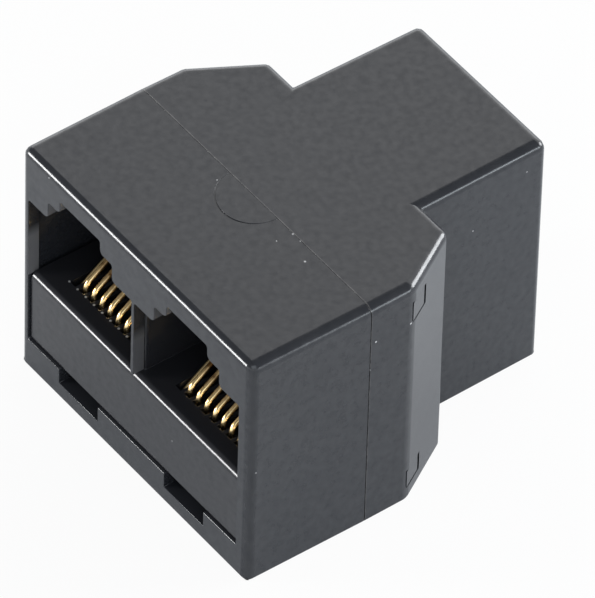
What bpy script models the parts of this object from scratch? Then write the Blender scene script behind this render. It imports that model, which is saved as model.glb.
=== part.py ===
"""A network splitter adapter: two plug sockets side by side in front and one in the neck behind.

The case is two moulded shells that snap together. Each end holds a jack block with eight
spring wires for each socket, and the wires' tails meet on one upright circuit board.
Sizes are in metres. X runs across the front, Y from the front face to the neck, Z up.
"""

import math

import bmesh
import bpy
from mathutils import Vector

MM = 0.001

# Case, outside.
WIDTH = 27.9 * MM  # at the seam, the widest place
HEIGHT = 21.7 * MM  # at the seam, the highest place
FRONT_LENGTH = 10.5 * MM  # front face to seam
STRAIGHT_LENGTH = 3.82 * MM  # seam to the shoulders' front edge
SHOULDER_LENGTH = 5.45 * MM
SHOULDER_INSET = 3.2 * MM
NECK_WIDTH = 15.52 * MM  # at its root
NECK_LENGTH = 11.28 * MM
FRONT_DRAFT = math.radians(0.42)  # of the front half's sides
REAR_DRAFT = math.radians(0.8)  # of the rear half's and the neck's sides
TOP_DRAFT = math.radians(0.15)  # of the top, down from the seam both ways
SEAM_GAP = 0.07 * MM

# Case, edge radii.
FRONT_CORNER_RADIUS = 0.76 * MM
FRONT_RIM_RADIUS = 0.6 * MM
TOP_EDGE_RADIUS = 0.82 * MM
BOTTOM_EDGE_RADIUS = 0.2 * MM
SHOULDER_EDGE_RADIUS = 0.45 * MM
NECK_CORNER_RADIUS = 0.6 * MM
NECK_ROOT_RADIUS = 0.3 * MM
EDGE_STEPS = 4

# Case, inside.
FLOOR_WALL = 1.4 * MM
TOP_WALL = 1.5 * MM
SIDE_WALL = 0.8 * MM
FACE_WALL = 1.0 * MM  # thickness of the front and rear faces
TONGUE_WIDTH = 18.0 * MM  # the rims that line the shells up at the seam
TONGUE_THICKNESS = 0.8 * MM
TONGUE_REACH = 1.6 * MM
TONGUE_ROOT = 3.0 * MM

# Plug sockets.
PORT_WIDTH = 12.55 * MM
WEB_THICKNESS = 0.33 * MM  # the case's thin post between the two front sockets
WEB_GAP = 0.1 * MM  # web to the jack block, below and behind
WEB_FOOT_RADIUS = 0.1 * MM
FRONT_SHIFT = -0.24 * MM  # middle of the front sockets from the middle of the case
NOTCH_ROOF = 1.96 * MM  # top of the case to the narrow step of the latch notch
NOTCH_RISE = 1.21 * MM  # wide step to narrow step
STEP_RISE = 1.63 * MM  # band over the plug's body to wide step
PORT_HEIGHT = 7.4 * MM  # socket floor to that band
STEP_WIDTH = 7.75 * MM
NOTCH_WIDTH = 4.85 * MM
PORT_CORNER_RADIUS = 0.2 * MM
STEP_CORNER_RADIUS = 0.45 * MM  # the corners that stand out into the opening
PORT_CORNER_STEPS = 3
LIP_HEIGHT = 2.7 * MM  # case lip under each jack block
LIP_NOTCH_WIDTH = 4.75 * MM

# Half-round line in the top, at the seam.
MARK_RADIUS = 2.85 * MM
MARK_LINE = 0.14 * MM
MARK_DEPTH = 0.12 * MM
MARK_STEPS = 24

# Snap arms on the front shell and their windows in the rear shell's shoulders.
WINDOW_LENGTH = 1.95 * MM  # along Y, back from the shoulder's front edge
UPPER_WINDOW_DROP = 1.7 * MM  # below the top
UPPER_WINDOW_HEIGHT = 1.96 * MM
LOWER_WINDOW_RISE = 1.1 * MM  # above the bottom
LOWER_WINDOW_HEIGHT = 1.74 * MM
HOOK_GAP = 0.06 * MM  # above and in front
HOOK_LOWER_GAP = 0.16 * MM
HOOK_REAR_GAP = 0.26 * MM
ARM_THICKNESS = 0.9 * MM
ARM_CLEARANCE = 0.3 * MM
ARM_ROOT_LENGTH = 2.6 * MM
ARM_BITE = 0.3 * MM  # overlap of an arm's root with its wall
HOOK_STEP = 0.1 * MM  # a hook is taller than its strip by this, above and below

# Jack blocks.
BLOCK_GAP = 0.25 * MM  # to the case inside
PANEL_GAP = 0.08 * MM  # to the sides of the opening
BLOCK_RECESS = 0.22 * MM  # behind the case's face
FLOOR_THICKNESS = 1.2 * MM
PANEL_THICKNESS = 1.2 * MM
SILL_RADIUS = 0.55 * MM
SILL_STEPS = 4
BLOCK_LENGTH = 13.7 * MM
BACK_WALL = 1.2 * MM
ARM_ROOT_GAP = 0.9 * MM  # the block's wide part ends this far in front of the snap arms
DIVIDER_THICKNESS = 0.8 * MM
DIVIDER_EDGE_RADIUS = 0.3 * MM
DIVIDER_ROOT = 0.5 * MM  # how far the divider reaches down into the socket floor
SKIRT_THICKNESS = 0.5 * MM
COMB_LENGTH = 2.7 * MM
COMB_HEIGHT = 5.5 * MM  # above the socket floor
COMB_MARGIN = 0.45 * MM
SLOT_SETBACK = 0.58 * MM  # back of the panel to the front end of the wire slots
SLOT_END_WALL = 0.6 * MM
GUIDE_START = 5.4 * MM  # the rib under the floor that holds the wires' lower runs
GUIDE_LENGTH = 2.2 * MM
GUIDE_DROP = 1.3 * MM

# Spring wires.
WIRE_COUNT = 8
WIRE_PITCH = 1.0 * MM
WIRE_DIAMETER = 0.46 * MM
WIRE_SIDES = 2  # Blender's bevel resolution, which gives eight sides
WIRE_SLOT_GAP = 0.09 * MM  # a wire to each side of its slot
WIRE_FRONT_GAP = 0.12 * MM  # a wire's bend to the front end of its slot
WIRE_RISE = math.radians(33)
WIRE_BEND_RADIUS = 0.55 * MM
WIRE_BEND_STEPS = 7
WIRE_RUN_DROP = 2.01 * MM  # socket floor to the lower run
WIRE_ARM_LENGTH = 9.6 * MM
WIRE_JOG_START = 8.6 * MM
WIRE_JOG_LENGTH = 2.0 * MM
WIRE_JOG_RADIUS = 0.8 * MM
WIRE_JOG_STEPS = 2
TAIL_ROWS = 4  # two for the front sockets and two for the rear one
TAIL_EDGE = 0.8 * MM  # lowest row to the board's bottom edge
TAIL_GAP = 0.15 * MM  # end of a tail to the block beyond the board

# Circuit board.
BOARD_THICKNESS = 1.6 * MM
BOARD_GAP = 0.35 * MM  # block to board
BOARD_SIDE_GAP = 0.4 * MM  # board to snap arms
BOARD_TOP_GAP = 0.9 * MM  # board to the case's ceiling
BOARD_HOLE_GAP = 0.15 * MM  # a wire's tail to its hole, all round
BOARD_HOLE_SIDES = 10
BOARD_CLEARANCE = 0.3 * MM  # above the case's floor

# How far a cutter runs past the face that it cuts.
PAST = 1.0 * MM
BITE = 0.2 * MM  # overlap of shapes that are joined into one piece

# Places that follow from the sizes above, measured from the front face.
SEAM_Y = FRONT_LENGTH
SHOULDER_Y = SEAM_Y + STRAIGHT_LENGTH
NECK_Y = SHOULDER_Y + SHOULDER_LENGTH
DEPTH = NECK_Y + NECK_LENGTH
HALF_WIDTH = WIDTH / 2
FRONT_HALF_WIDTH = HALF_WIDTH - FRONT_LENGTH * math.tan(FRONT_DRAFT)
SHOULDER_HALF_WIDTH = HALF_WIDTH - STRAIGHT_LENGTH * math.tan(REAR_DRAFT)
SHOULDER_END_HALF_WIDTH = SHOULDER_HALF_WIDTH - SHOULDER_INSET
NECK_HALF_WIDTH = NECK_WIDTH / 2
NECK_END_HALF_WIDTH = NECK_HALF_WIDTH - NECK_LENGTH * math.tan(REAR_DRAFT)
CEILING = HEIGHT - TOP_WALL
PORT_PITCH = PORT_WIDTH + WEB_THICKNESS
FRONT_OPENING_HALF = (PORT_PITCH + PORT_WIDTH) / 2
REAR_OPENING_HALF = PORT_WIDTH / 2
NOTCH_HEIGHT = HEIGHT - NOTCH_ROOF
STEP_HEIGHT = NOTCH_HEIGHT - NOTCH_RISE
LEDGE_HEIGHT = STEP_HEIGHT - STEP_RISE
SOCKET_FLOOR = LEDGE_HEIGHT - PORT_HEIGHT
BLOCK_TOP = CEILING - BLOCK_GAP - TONGUE_THICKNESS - BLOCK_GAP
WIDE_LENGTH = SEAM_Y - ARM_ROOT_LENGTH - ARM_ROOT_GAP
SLOT_FRONT = BLOCK_RECESS + PANEL_THICKNESS + SLOT_SETBACK
WIRE_SPAN = (WIRE_COUNT - 1) * WIRE_PITCH
WIRE_SLOT = WIRE_DIAMETER + WIRE_SLOT_GAP * 2
WIRE_BEND_DEPTH = SLOT_FRONT + WIRE_FRONT_GAP + WIRE_DIAMETER / 2 + WIRE_BEND_RADIUS
WIRE_RUN_HEIGHT = SOCKET_FLOOR - WIRE_RUN_DROP
BOARD_Y = BLOCK_RECESS + BLOCK_LENGTH + BOARD_GAP
BOARD_BOTTOM = FLOOR_WALL + BOARD_CLEARANCE
BOARD_TOP = CEILING - BOARD_TOP_GAP
BOARD_HOLE = WIRE_DIAMETER + BOARD_HOLE_GAP * 2
TAIL_ROW_SPACING = (WIRE_RUN_HEIGHT - BOARD_BOTTOM - TAIL_EDGE) / (TAIL_ROWS - 1)
REAR_TAIL_DROP = TAIL_ROW_SPACING * TAIL_ROWS / 2
REAR_BOARD_DISTANCE = DEPTH - BOARD_Y - BOARD_THICKNESS  # rear face to the board
REAR_BLOCK_LENGTH = REAR_BOARD_DISTANCE - BOARD_GAP - BLOCK_RECESS
ARM_OUTER = HALF_WIDTH - SIDE_WALL - ARM_CLEARANCE
ARM_INNER = ARM_OUTER - ARM_THICKNESS
WINDOWS = (
    (HEIGHT - UPPER_WINDOW_DROP - UPPER_WINDOW_HEIGHT, HEIGHT - UPPER_WINDOW_DROP),
    (LOWER_WINDOW_RISE, LOWER_WINDOW_RISE + LOWER_WINDOW_HEIGHT),
)


def clear_scene():
    for obj in list(bpy.data.objects):
        bpy.data.objects.remove(obj, do_unlink=True)


def material(name, colour, roughness, metallic=0.0):
    made = bpy.data.materials.new(name)
    made.use_nodes = True
    shader = made.node_tree.nodes["Principled BSDF"]
    shader.inputs["Base Color"].default_value = (*colour, 1.0)
    shader.inputs["Roughness"].default_value = roughness
    shader.inputs["Metallic"].default_value = metallic
    return made


def empty(name, location, parent=None, turn=0.0):
    made = bpy.data.objects.new(name, None)
    bpy.context.collection.objects.link(made)
    made.location = location
    made.rotation_euler = (0, 0, turn)
    made.parent = parent
    return made


def add_object(name, data, parent, finish=None):
    made = bpy.data.objects.new(name, data)
    bpy.context.collection.objects.link(made)
    made.parent = parent
    if finish:
        data.materials.append(finish)
    return made


def helper(obj):
    """Keeps a cutter, or a shape joined to another, out of the finished part."""
    obj.hide_render = True
    obj.display_type = 'WIRE'
    return obj


def fillet(points, radii, steps, closed=True):
    """The 2D points with each corner turned into an arc of its own radius."""
    points = [Vector(point) for point in points]
    rounded = []
    for index, (corner, radius) in enumerate(zip(points, radii)):
        if not closed and index in (0, len(points) - 1):
            rounded.append(corner)
            continue
        back = (points[index - 1] - corner).normalized()
        ahead = (points[(index + 1) % len(points)] - corner).normalized()
        half = back.angle(ahead) / 2
        reach = radius / math.tan(half)
        centre = corner + (back + ahead).normalized() * radius / math.sin(half)
        start = corner + back * reach - centre
        sweep = start.angle_signed(corner + ahead * reach - centre)
        for step in range(steps + 1):
            turn = -sweep * step / steps
            spoke = Vector((
                start.x * math.cos(turn) - start.y * math.sin(turn),
                start.x * math.sin(turn) + start.y * math.cos(turn),
            ))
            rounded.append(centre + spoke)
    return rounded


def inset(outline, distances):
    """The closed outline with each edge moved in by its own distance."""
    lines = []
    for index, start in enumerate(outline):
        start = Vector(start)
        along = (Vector(outline[(index + 1) % len(outline)]) - start).normalized()
        inward = Vector((-along.y, along.x))
        lines.append((start + inward * distances[index], along))
    moved = []
    for index, (point, along) in enumerate(lines):
        before, before_along = lines[index - 1]
        share = (point - before).cross(along) / before_along.cross(along)
        moved.append(before + before_along * share)
    return moved


def extrusion(bm, points, direction):
    """Adds the solid that a flat outline of 3D points sweeps along a direction."""
    outline = bm.faces.new([bm.verts.new(point) for point in points])
    swept = bmesh.ops.extrude_face_region(bm, geom=[outline])
    moved = [item for item in swept["geom"] if isinstance(item, bmesh.types.BMVert)]
    bmesh.ops.translate(bm, verts=moved, vec=direction)


def solids(name, sweeps, parent, finish=None):
    """One object that holds a swept solid for each (points, direction)."""
    bm = bmesh.new()
    for points, direction in sweeps:
        extrusion(bm, points, direction)
    bmesh.ops.recalc_face_normals(bm, faces=bm.faces)
    mesh = bpy.data.meshes.new(name)
    bm.to_mesh(mesh)
    bm.free()
    return add_object(name, mesh, parent, finish)


def plan(outline, bottom, top):
    """A sweep of an outline in X and Y, from one height to another."""
    return [Vector((x, y, bottom)) for x, y in outline], Vector((0, 0, top - bottom))


def elevation(outline, near, far):
    """A sweep of an outline in X and Z, from one depth to another."""
    return [Vector((x, near, z)) for x, z in outline], Vector((0, far - near, 0))


def section(outline, left, right):
    """A sweep of an outline in Y and Z, from one side to the other."""
    return [Vector((left, y, z)) for y, z in outline], Vector((right - left, 0, 0))


def block(left, right, near, far, bottom, top):
    return plan([(left, near), (right, near), (right, far), (left, far)], bottom, top)


def mirrored(outline):
    return [(-x, y) for x, y in reversed(outline)]


def combine(target, other, operation):
    """Adds an exact Boolean to the target, with a helper object as its operand."""
    helper(other)
    boolean = target.modifiers.new(other.name, 'BOOLEAN')
    boolean.operation = operation
    boolean.solver = 'EXACT'
    boolean.object = other


def rounded_prism(name, outline, roof, upright_radii, top_radii, parent, finish):
    """A prism on the ground with a sloping roof and its own radius on each edge.

    roof gives the height at a depth. Upright edge i stands on corner i, and top edge i runs
    from corner i to the next. The bottom edges share one radius where the top edge has one.
    """
    bm = bmesh.new()
    weights = bm.edges.layers.float.new("bevel_weight_edge")
    lower = [bm.verts.new((x, y, 0)) for x, y in outline]
    upper = [bm.verts.new((x, y, roof(y))) for x, y in outline]
    bm.faces.new(reversed(lower))
    bm.faces.new(upper)
    largest = max([*upright_radii, *top_radii])
    for index in range(len(outline)):
        after = (index + 1) % len(outline)
        bm.faces.new((lower[index], lower[after], upper[after], upper[index]))
        bm.edges.get((lower[index], upper[index]))[weights] = upright_radii[index] / largest
        bm.edges.get((upper[index], upper[after]))[weights] = top_radii[index] / largest
        under = min(BOTTOM_EDGE_RADIUS, top_radii[index])
        bm.edges.get((lower[index], lower[after]))[weights] = under / largest
    mesh = bpy.data.meshes.new(name)
    bm.to_mesh(mesh)
    bm.free()
    made = add_object(name, mesh, parent, finish)
    bevel = made.modifiers.new("edge radii", 'BEVEL')
    bevel.limit_method = 'WEIGHT'
    bevel.width = largest
    bevel.segments = EDGE_STEPS
    return made


def front_roof(depth):
    return HEIGHT - (SEAM_Y - depth) * math.tan(TOP_DRAFT)


def rear_roof(depth):
    return HEIGHT - (depth - SEAM_Y) * math.tan(TOP_DRAFT)


def shoulder_x(depth):
    """Half the width of the case at a depth within the shoulders."""
    return SHOULDER_HALF_WIDTH - (depth - SHOULDER_Y) * SHOULDER_INSET / SHOULDER_LENGTH


def shoulder_inside(depth):
    """The same for the inner side of the shoulders' wall."""
    slope_length = math.hypot(SHOULDER_INSET, SHOULDER_LENGTH)
    return shoulder_x(depth) - SIDE_WALL * slope_length / SHOULDER_LENGTH


def latch_notch(centre):
    """The steps of a latch notch from right to left, as corners and their radii."""
    steps = (
        (STEP_WIDTH / 2, LEDGE_HEIGHT, STEP_CORNER_RADIUS),
        (STEP_WIDTH / 2, STEP_HEIGHT, PORT_CORNER_RADIUS),
        (NOTCH_WIDTH / 2, STEP_HEIGHT, STEP_CORNER_RADIUS),
        (NOTCH_WIDTH / 2, NOTCH_HEIGHT, PORT_CORNER_RADIUS),
    )
    right = [(centre + half, height, radius) for half, height, radius in steps]
    left = [(centre - half, height, radius) for half, height, radius in reversed(steps)]
    return right + left


def socket_outline(centres):
    """The opening in a face: the panel's window, and above it the sockets with a web between.

    A web hangs from the band over the sockets and stops just above the socket floor.
    """
    left = min(centres) - PORT_WIDTH / 2
    right = max(centres) + PORT_WIDTH / 2
    foot = SOCKET_FLOOR + WEB_GAP
    corners = [(left, LIP_HEIGHT, PORT_CORNER_RADIUS), (right, LIP_HEIGHT, PORT_CORNER_RADIUS)]
    for centre in sorted(centres, reverse=True):
        socket_right = centre + PORT_WIDTH / 2
        socket_left = centre - PORT_WIDTH / 2
        if socket_right < right:
            corners.append((socket_right, foot, WEB_FOOT_RADIUS))
        corners.append((socket_right, LEDGE_HEIGHT, PORT_CORNER_RADIUS))
        corners.extend(latch_notch(centre))
        corners.append((socket_left, LEDGE_HEIGHT, PORT_CORNER_RADIUS))
        if socket_left > left:
            corners.append((socket_left, foot, WEB_FOOT_RADIUS))
    points = [(x, height) for x, height, radius in corners]
    return fillet(points, [radius for x, height, radius in corners], PORT_CORNER_STEPS)


def lip_notches(centres, near, far):
    half = LIP_NOTCH_WIDTH / 2
    top = LIP_HEIGHT + BITE
    return [block(x - half, x + half, near, far, FLOOR_WALL, top) for x in centres]


def half_ring(centre_y):
    """The outline of the half-round line, open towards the seam."""
    outer = MARK_RADIUS + MARK_LINE / 2
    inner = MARK_RADIUS - MARK_LINE / 2
    angles = [math.pi * step / MARK_STEPS for step in range(MARK_STEPS + 1)]
    outline = [(outer * math.cos(a), centre_y - outer * math.sin(a)) for a in reversed(angles)]
    outline += [(inner * math.cos(a), centre_y - inner * math.sin(a)) for a in angles]
    return outline


def tongues():
    """Rims inside the top and bottom walls of the front shell that reach past the seam."""
    near = SEAM_Y - TONGUE_ROOT
    far = SEAM_Y + TONGUE_REACH
    half = TONGUE_WIDTH / 2
    sweeps = []
    for bottom, top in (
        (CEILING - BLOCK_GAP - TONGUE_THICKNESS, CEILING - BLOCK_GAP),
        (FLOOR_WALL + BLOCK_GAP, FLOOR_WALL + BLOCK_GAP + TONGUE_THICKNESS),
    ):
        sweeps.append(block(-half, half, near, far, bottom, top))
    roots = (
        (CEILING - BLOCK_GAP - BITE, CEILING + BITE),
        (FLOOR_WALL - BITE, FLOOR_WALL + BLOCK_GAP + BITE),
    )
    root_end = SEAM_Y - SEAM_GAP
    return sweeps, [block(-half, half, near, root_end, bottom, top) for bottom, top in roots]


def snap_arms(bottom, top):
    """The pair of arms at one height: a root on the side wall, a springy strip, a flush hook."""
    root = SEAM_Y - ARM_ROOT_LENGTH
    hook_front = SHOULDER_Y + HOOK_GAP
    hook_rear = SHOULDER_Y + WINDOW_LENGTH - HOOK_REAR_GAP
    wall = HALF_WIDTH - SIDE_WALL + ARM_BITE
    strip = [
        (ARM_INNER, root),
        (wall, root),
        (wall, SEAM_Y - ARM_CLEARANCE),
        (ARM_OUTER, SEAM_Y),
        (ARM_OUTER, hook_front + ARM_BITE),
        (ARM_INNER, hook_front + ARM_BITE),
    ]
    hook = [
        (ARM_INNER, hook_front),
        (shoulder_x(hook_front), hook_front),
        (shoulder_x(hook_rear), hook_rear),
        (ARM_INNER, hook_rear),
    ]
    hook_bottom = bottom + HOOK_LOWER_GAP
    hook_top = top - HOOK_GAP
    strip_bottom = max(hook_bottom + HOOK_STEP, FLOOR_WALL + ARM_CLEARANCE)
    strip_top = min(hook_top - HOOK_STEP, CEILING - ARM_CLEARANCE)
    strips = [plan(side, strip_bottom, strip_top) for side in (strip, mirrored(strip))]
    hooks = [plan(side, hook_bottom, hook_top) for side in (hook, mirrored(hook))]
    return strips, hooks


def front_shell(parent, finish):
    end = SEAM_Y - SEAM_GAP / 2
    outline = [
        (-FRONT_HALF_WIDTH, 0),
        (FRONT_HALF_WIDTH, 0),
        (HALF_WIDTH, end),
        (-HALF_WIDTH, end),
    ]
    shell = rounded_prism(
        "front_shell",
        outline,
        front_roof,
        (FRONT_CORNER_RADIUS, FRONT_CORNER_RADIUS, 0, 0),
        (FRONT_RIM_RADIUS, TOP_EDGE_RADIUS, 0, TOP_EDGE_RADIUS),
        parent,
        finish,
    )
    inner = HALF_WIDTH - SIDE_WALL
    hollow = block(-inner, inner, FACE_WALL, SEAM_Y + PAST, FLOOR_WALL, CEILING)
    combine(shell, solids("front hollow", [hollow], parent), 'DIFFERENCE')
    centres = (FRONT_SHIFT - PORT_PITCH / 2, FRONT_SHIFT + PORT_PITCH / 2)
    opening = elevation(socket_outline(centres), -PAST, FACE_WALL + PAST)
    combine(shell, solids("front opening", [opening], parent), 'DIFFERENCE')
    notches = lip_notches(centres, -PAST, FACE_WALL + PAST)
    combine(shell, solids("front lip notches", notches, parent), 'DIFFERENCE')
    mark = plan(half_ring(SEAM_Y), HEIGHT - MARK_DEPTH, HEIGHT + PAST)
    combine(shell, solids("half-round line", [mark], parent), 'DIFFERENCE')
    rims, roots = tongues()
    combine(shell, solids("tongue roots", roots, parent), 'UNION')
    combine(shell, solids("tongues", rims, parent), 'UNION')
    strips, hooks = [], []
    for bottom, top in WINDOWS:
        pair, ends = snap_arms(bottom, top)
        strips += pair
        hooks += ends
    combine(shell, solids("snap strips", strips, parent), 'UNION')
    combine(shell, solids("snap hooks", hooks, parent), 'UNION')
    return shell


def rear_shell(parent, finish):
    start = SEAM_Y + SEAM_GAP / 2
    right = [
        (HALF_WIDTH, start),
        (SHOULDER_HALF_WIDTH, SHOULDER_Y),
        (SHOULDER_END_HALF_WIDTH, NECK_Y),
        (NECK_HALF_WIDTH, NECK_Y),
        (NECK_END_HALF_WIDTH, DEPTH),
    ]
    outline = right + mirrored(right)
    uprights = (
        0,
        SHOULDER_EDGE_RADIUS,
        SHOULDER_EDGE_RADIUS,
        NECK_ROOT_RADIUS,
        NECK_CORNER_RADIUS,
    )
    rims = (TOP_EDGE_RADIUS,) * (len(outline) - 1) + (0,)
    shell = rounded_prism(
        "rear_shell",
        outline,
        rear_roof,
        uprights + tuple(reversed(uprights)),
        rims,
        parent,
        finish,
    )
    neck_wall = NECK_END_HALF_WIDTH - REAR_OPENING_HALF
    walls = (SIDE_WALL, SIDE_WALL, SIDE_WALL, neck_wall)
    distances = walls + (FACE_WALL,) + tuple(reversed(walls)) + (-PAST,)
    hollow = plan(inset(outline, distances), FLOOR_WALL, CEILING)
    combine(shell, solids("rear hollow", [hollow], parent), 'DIFFERENCE')
    opening = elevation(socket_outline((0,)), DEPTH - FACE_WALL - PAST, DEPTH + PAST)
    combine(shell, solids("rear opening", [opening], parent), 'DIFFERENCE')
    notch = lip_notches((0,), DEPTH - FACE_WALL - PAST, DEPTH + PAST)
    combine(shell, solids("rear lip notch", notch, parent), 'DIFFERENCE')
    window_end = SHOULDER_Y + WINDOW_LENGTH
    inside = ARM_INNER - PAST
    outside = HALF_WIDTH + PAST
    windows = []
    for bottom, top in WINDOWS:
        windows.append(block(inside, outside, SHOULDER_Y, window_end, bottom, top))
        windows.append(block(-outside, -inside, SHOULDER_Y, window_end, bottom, top))
    combine(shell, solids("shoulder windows", windows, parent), 'DIFFERENCE')
    return shell


def wire_places(centre):
    first = centre - WIRE_SPAN / 2
    return [first + index * WIRE_PITCH for index in range(WIRE_COUNT)]


def slot_cuts(centres, under, far):
    """Slots through the floor, the guide under it and the comb, one for each wire."""
    low = under - GUIDE_DROP - PAST
    high = SOCKET_FLOOR + COMB_HEIGHT + PAST
    comb_front = far - BACK_WALL - COMB_LENGTH - BITE
    slot = [
        (SLOT_FRONT, low),
        (far - SLOT_END_WALL, low),
        (far - SLOT_END_WALL, high),
        (comb_front, high),
        (comb_front, SOCKET_FLOOR + PAST),
        (SLOT_FRONT, SOCKET_FLOOR + PAST),
    ]
    half = WIRE_SLOT / 2
    return [section(slot, x - half, x + half) for c in centres for x in wire_places(c)]


def divider(far):
    """The wall between the two sockets, behind the web of the case's face."""
    half = DIVIDER_THICKNESS / 2
    near = FACE_WALL + WEB_GAP
    outline = [(half, far - BITE), (half, near), (-half, near), (-half, far - BITE)]
    radii = [DIVIDER_EDGE_RADIUS] * len(outline)
    outline = fillet(outline, radii, SILL_STEPS, False)
    return plan(outline, SOCKET_FLOOR - DIVIDER_ROOT, BLOCK_TOP)


def jack_block(name, centres, half_opening, back_half_width, length, parent, finish):
    """The moulding behind one face: a front panel, socket floors with wire slots, and a comb."""
    half = half_opening - PANEL_GAP
    near = BLOCK_RECESS
    far = near + length
    under = SOCKET_FLOOR - FLOOR_THICKNESS
    bottom = LIP_HEIGHT + BLOCK_GAP
    sill = [(near, bottom), (near, SOCKET_FLOOR), (far, SOCKET_FLOOR)]
    sill = fillet(sill, [SILL_RADIUS] * len(sill), SILL_STEPS, False)
    back = near + PANEL_THICKNESS
    profile = [*sill, (far, under), (back, under), (back, bottom)]
    body = solids(name, [section(profile, -half, half)], parent, finish)
    if half > back_half_width:
        low, high = under - PAST, SOCKET_FLOOR + PAST
        left, right = back_half_width, half + PAST
        trims = [
            block(left, right, WIDE_LENGTH, far + PAST, low, high),
            block(-right, -left, WIDE_LENGTH, far + PAST, low, high),
        ]
        combine(body, solids(name + " side trims", trims, parent), 'DIFFERENCE')
    wall_half = min(half, back_half_width)
    wall_front = far - BACK_WALL
    walls = [block(-wall_half, wall_half, wall_front, far, under, BLOCK_TOP)]
    reach = WIRE_SPAN / 2 + WIRE_SLOT / 2 + COMB_MARGIN
    guide_end = GUIDE_START + GUIDE_LENGTH
    comb_top = SOCKET_FLOOR + COMB_HEIGHT
    combs = []
    for centre in centres:
        left, right = centre - reach, centre + reach
        low, high = under - GUIDE_DROP, under + BITE
        walls.append(block(left, right, GUIDE_START, guide_end, low, high))
        low, comb_front = SOCKET_FLOOR - BITE, wall_front - COMB_LENGTH
        combs.append(block(left, right, comb_front, far - BITE, low, comb_top))
    combine(body, solids(name + " back wall and guides", walls, parent), 'UNION')
    inside = half - SKIRT_THICKNESS
    skirt_front = FACE_WALL + BLOCK_GAP
    skirt_end = WIDE_LENGTH if half > back_half_width else far
    foot = FLOOR_WALL + BLOCK_GAP
    combs.append(block(inside, half, skirt_front, skirt_end, foot, under + BITE))
    combs.append(block(-half, -inside, skirt_front, skirt_end, foot, under + BITE))
    combine(body, solids(name + " combs and skirts", combs, parent), 'UNION')
    cuts = slot_cuts(centres, under, far)
    combine(body, solids(name + " wire slots", cuts, parent), 'DIFFERENCE')
    if len(centres) > 1:
        combine(body, solids(name + " divider", [divider(far)], parent), 'UNION')
    return body


def wire_path(tail_drop, tail_end):
    """Points in Y and Z: the free end, the rising arm, the bend at the mouth, the tail."""
    bend_height = WIRE_RUN_HEIGHT + WIRE_BEND_RADIUS
    first = math.pi / 2 + WIRE_RISE
    turn = math.pi - WIRE_RISE
    bend = []
    for step in range(WIRE_BEND_STEPS + 1):
        angle = first + turn * step / WIRE_BEND_STEPS
        depth = WIRE_BEND_DEPTH + WIRE_BEND_RADIUS * math.cos(angle)
        bend.append(Vector((depth, bend_height + WIRE_BEND_RADIUS * math.sin(angle))))
    arm = Vector((math.cos(WIRE_RISE), math.sin(WIRE_RISE))) * WIRE_ARM_LENGTH
    run = [(WIRE_BEND_DEPTH, WIRE_RUN_HEIGHT), (tail_end, WIRE_RUN_HEIGHT)]
    if tail_drop:
        low = WIRE_RUN_HEIGHT - tail_drop
        jog_end = WIRE_JOG_START + WIRE_JOG_LENGTH
        run = [run[0], (WIRE_JOG_START, WIRE_RUN_HEIGHT), (jog_end, low), (tail_end, low)]
        run = fillet(run, [WIRE_JOG_RADIUS] * len(run), WIRE_JOG_STEPS, False)
    return [bend[0] + arm, *bend, *run[1:]]


def wire(name, path, parent, finish):
    curve = bpy.data.curves.new(name, 'CURVE')
    curve.dimensions = '3D'
    spline = curve.splines.new('POLY')
    spline.points.add(len(path) - 1)
    for point, (depth, height) in zip(spline.points, path):
        point.co = (0, depth, height, 1)
    curve.bevel_depth = WIRE_DIAMETER / 2
    curve.bevel_resolution = WIRE_SIDES
    curve.use_fill_caps = True
    curve.materials.append(finish)
    return add_object(name, curve, parent)


def tail_drops(base):
    """How far each wire's tail drops: neighbours take turns between two rows."""
    return [base + TAIL_ROW_SPACING * (index % 2) for index in range(WIRE_COUNT)]


def contacts(name, centre, drops, board_distance, mouth, finish):
    tail_end = board_distance + BOARD_THICKNESS + BOARD_GAP - TAIL_GAP
    for index, (x, drop) in enumerate(zip(wire_places(centre), drops)):
        made = wire(f"{name}_{index + 1}", wire_path(drop, tail_end), mouth, finish)
        made.location.x = x


def circuit_board(rows, parent, finish):
    """The upright board between the snap arms. rows pairs a height with its tails' places."""
    far = BOARD_Y + BOARD_THICKNESS
    half = min(ARM_INNER, shoulder_inside(far)) - BOARD_SIDE_GAP
    slab = block(-half, half, BOARD_Y, far, BOARD_BOTTOM, BOARD_TOP)
    board = solids("circuit_board", [slab], parent, finish)
    angles = [2 * math.pi * step / BOARD_HOLE_SIDES for step in range(BOARD_HOLE_SIDES)]
    radius = BOARD_HOLE / 2
    for height, places in rows:
        holes = []
        for x in places:
            rim = [(x + radius * math.cos(a), height + radius * math.sin(a)) for a in angles]
            holes.append(elevation(rim, BOARD_Y - PAST, far + PAST))
        combine(board, solids("row of tail holes", holes, parent), 'DIFFERENCE')
    return board


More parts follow.
